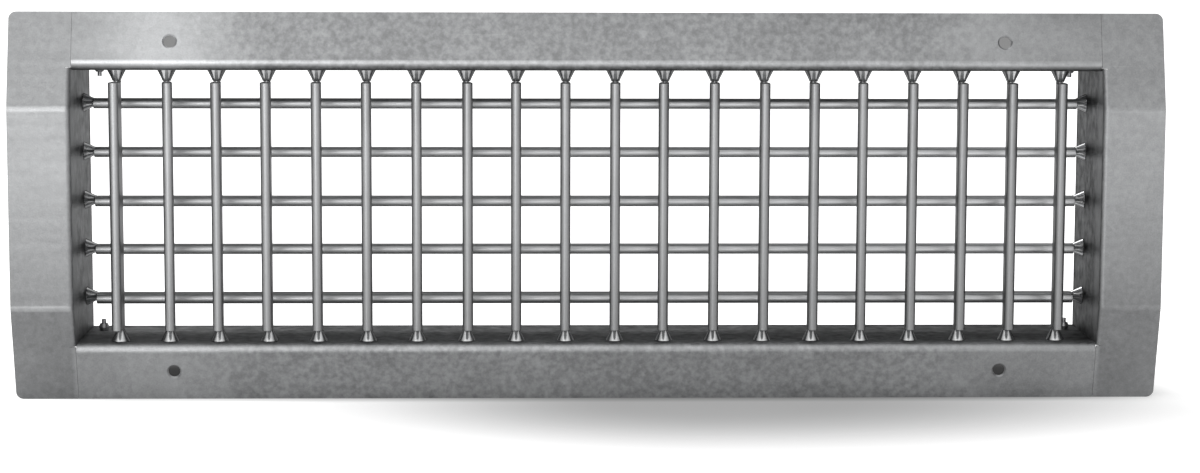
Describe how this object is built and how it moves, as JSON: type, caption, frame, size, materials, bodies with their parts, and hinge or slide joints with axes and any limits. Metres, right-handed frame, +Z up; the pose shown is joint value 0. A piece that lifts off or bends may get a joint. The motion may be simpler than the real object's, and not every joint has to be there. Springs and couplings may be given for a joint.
{
  "type": "double deflection grille",
  "caption": "Long sheet-metal air grille for a round duct: a faceted face and shallow neck hold a row of upright blades in front of level ones, each turning on pins in tapered bushes.",
  "frame": {"origin": "middle of the opening, in the plane of the face's middle facet", "axes": "+X along the face to the right as seen from the room, +Y back into the duct, +Z up"},
  "size_m": [0.462, 0.055, 0.1564],
  "materials": {
    "sheet": "galvanised, satin, unpainted",
    "front_blade": "mill finish, satin",
    "rear_blade": "mill finish, satin",
    "bush": "turned, bright",
    "pin": "drawn wire",
    "rivet": "plated"
  },
  "bodies": {
    "frame": {"top_rail": "sheet", "bottom_rail": "sheet", "left_end": "sheet", "right_end": "sheet", "corner_rivets": "rivet", "top_bushes": "bush", "bottom_bushes": "bush", "left_bushes": "bush", "right_bushes": "bush"},
    "front_blade_01": {"front_blade_01": "front_blade", "front_pins_01": "pin"},
    "front_blade_02": {"front_blade_02": "front_blade", "front_pins_02": "pin"},
    "front_blade_03": {"front_blade_03": "front_blade", "front_pins_03": "pin"},
    "front_blade_04": {"front_blade_04": "front_blade", "front_pins_04": "pin"},
    "front_blade_05": {"front_blade_05": "front_blade", "front_pins_05": "pin"},
    "front_blade_06": {"front_blade_06": "front_blade", "front_pins_06": "pin"},
    "front_blade_07": {"front_blade_07": "front_blade", "front_pins_07": "pin"},
    "front_blade_08": {"front_blade_08": "front_blade", "front_pins_08": "pin"},
    "front_blade_09": {"front_blade_09": "front_blade", "front_pins_09": "pin"},
    "front_blade_10": {"front_blade_10": "front_blade", "front_pins_10": "pin"},
    "front_blade_11": {"front_blade_11": "front_blade", "front_pins_11": "pin"},
    "front_blade_12": {"front_blade_12": "front_blade", "front_pins_12": "pin"},
    "front_blade_13": {"front_blade_13": "front_blade", "front_pins_13": "pin"},
    "front_blade_14": {"front_blade_14": "front_blade", "front_pins_14": "pin"},
    "front_blade_15": {"front_blade_15": "front_blade", "front_pins_15": "pin"},
    "front_blade_16": {"front_blade_16": "front_blade", "front_pins_16": "pin"},
    "front_blade_17": {"front_blade_17": "front_blade", "front_pins_17": "pin"},
    "front_blade_18": {"front_blade_18": "front_blade", "front_pins_18": "pin"},
    "front_blade_19": {"front_blade_19": "front_blade", "front_pins_19": "pin"},
    "front_blade_20": {"front_blade_20": "front_blade", "front_pins_20": "pin"},
    "rear_blade_1": {"rear_blade_1": "rear_blade", "rear_pins_1": "pin"},
    "rear_blade_2": {"rear_blade_2": "rear_blade", "rear_pins_2": "pin"},
    "rear_blade_3": {"rear_blade_3": "rear_blade", "rear_pins_3": "pin"},
    "rear_blade_4": {"rear_blade_4": "rear_blade", "rear_pins_4": "pin"},
    "rear_blade_5": {"rear_blade_5": "rear_blade", "rear_pins_5": "pin"}
  },
  "joints": [
    {"name": "front_pivot_01", "type": "hinge", "parent": "frame", "child": "front_blade_01", "pos_m": [-0.1892, 0.0145, 0], "axis": [0, 0, 1], "range_deg": [-40, 50]},
    {"name": "front_pivot_02", "type": "hinge", "parent": "frame", "child": "front_blade_02", "pos_m": [-0.1692, 0.0145, 0], "axis": [0, 0, 1], "range_deg": [-52, 38]},
    {"name": "front_pivot_03", "type": "hinge", "parent": "frame", "child": "front_blade_03", "pos_m": [-0.1492, 0.0145, 0], "axis": [0, 0, 1], "range_deg": [-45, 45]},
    {"name": "front_pivot_04", "type": "hinge", "parent": "frame", "child": "front_blade_04", "pos_m": [-0.1292, 0.0145, 0], "axis": [0, 0, 1], "range_deg": [-43, 47]},
    {"name": "front_pivot_05", "type": "hinge", "parent": "frame", "child": "front_blade_05", "pos_m": [-0.1092, 0.0145, 0], "axis": [0, 0, 1], "range_deg": [-45, 45]},
    {"name": "front_pivot_06", "type": "hinge", "parent": "frame", "child": "front_blade_06", "pos_m": [-0.0892, 0.0145, 0], "axis": [0, 0, 1], "range_deg": [-45, 45]},
    {"name": "front_pivot_07", "type": "hinge", "parent": "frame", "child": "front_blade_07", "pos_m": [-0.0692, 0.0145, 0], "axis": [0, 0, 1], "range_deg": [-46, 44]},
    {"name": "front_pivot_08", "type": "hinge", "parent": "frame", "child": "front_blade_08", "pos_m": [-0.0492, 0.0145, 0], "axis": [0, 0, 1], "range_deg": [-50, 40]},
    {"name": "front_pivot_09", "type": "hinge", "parent": "frame", "child": "front_blade_09", "pos_m": [-0.0292, 0.0145, 0], "axis": [0, 0, 1], "range_deg": [-45, 45]},
    {"name": "front_pivot_10", "type": "hinge", "parent": "frame", "child": "front_blade_10", "pos_m": [-0.0092, 0.0145, 0], "axis": [0, 0, 1], "range_deg": [-43, 47]},
    {"name": "front_pivot_11", "type": "hinge", "parent": "frame", "child": "front_blade_11", "pos_m": [0.0108, 0.0145, 0], "axis": [0, 0, 1], "range_deg": [-43, 47]},
    {"name": "front_pivot_12", "type": "hinge", "parent": "frame", "child": "front_blade_12", "pos_m": [0.0308, 0.0145, 0], "axis": [0, 0, 1], "range_deg": [-38, 52]},
    {"name": "front_pivot_13", "type": "hinge", "parent": "frame", "child": "front_blade_13", "pos_m": [0.0508, 0.0145, 0], "axis": [0, 0, 1], "range_deg": [-42, 48]},
    {"name": "front_pivot_14", "type": "hinge", "parent": "frame", "child": "front_blade_14", "pos_m": [0.0708, 0.0145, 0], "axis": [0, 0, 1], "range_deg": [-45, 45]},
    {"name": "front_pivot_15", "type": "hinge", "parent": "frame", "child": "front_blade_15", "pos_m": [0.0908, 0.0145, 0], "axis": [0, 0, 1], "range_deg": [-45, 45]},
    {"name": "front_pivot_16", "type": "hinge", "parent": "frame", "child": "front_blade_16", "pos_m": [0.1108, 0.0145, 0], "axis": [0, 0, 1], "range_deg": [-40, 50]},
    {"name": "front_pivot_17", "type": "hinge", "parent": "frame", "child": "front_blade_17", "pos_m": [0.1308, 0.0145, 0], "axis": [0, 0, 1], "range_deg": [-42, 48]},
    {"name": "front_pivot_18", "type": "hinge", "parent": "frame", "child": "front_blade_18", "pos_m": [0.1508, 0.0145, 0], "axis": [0, 0, 1], "range_deg": [-44, 46]},
    {"name": "front_pivot_19", "type": "hinge", "parent": "frame", "child": "front_blade_19", "pos_m": [0.1708, 0.0145, 0], "axis": [0, 0, 1], "range_deg": [-44, 46]},
    {"name": "front_pivot_20", "type": "hinge", "parent": "frame", "child": "front_blade_20", "pos_m": [0.1908, 0.0145, 0], "axis": [0, 0, 1], "range_deg": [-44, 46]},
    {"name": "rear_pivot_1", "type": "hinge", "parent": "frame", "child": "rear_blade_1", "pos_m": [0, 0.038, 0.04], "axis": [1, 0, 0], "range_deg": [-45, 45]},
    {"name": "rear_pivot_2", "type": "hinge", "parent": "frame", "child": "rear_blade_2", "pos_m": [0, 0.038, 0.02], "axis": [1, 0, 0], "range_deg": [-44, 46]},
    {"name": "rear_pivot_3", "type": "hinge", "parent": "frame", "child": "rear_blade_3", "pos_m": [0, 0.038, 0], "axis": [1, 0, 0], "range_deg": [-46, 44]},
    {"name": "rear_pivot_4", "type": "hinge", "parent": "frame", "child": "rear_blade_4", "pos_m": [0, 0.038, -0.02], "axis": [1, 0, 0], "range_deg": [-43, 47]},
    {"name": "rear_pivot_5", "type": "hinge", "parent": "frame", "child": "rear_blade_5", "pos_m": [0, 0.038, -0.04], "axis": [1, 0, 0], "range_deg": [-47, 43]}
  ]
}
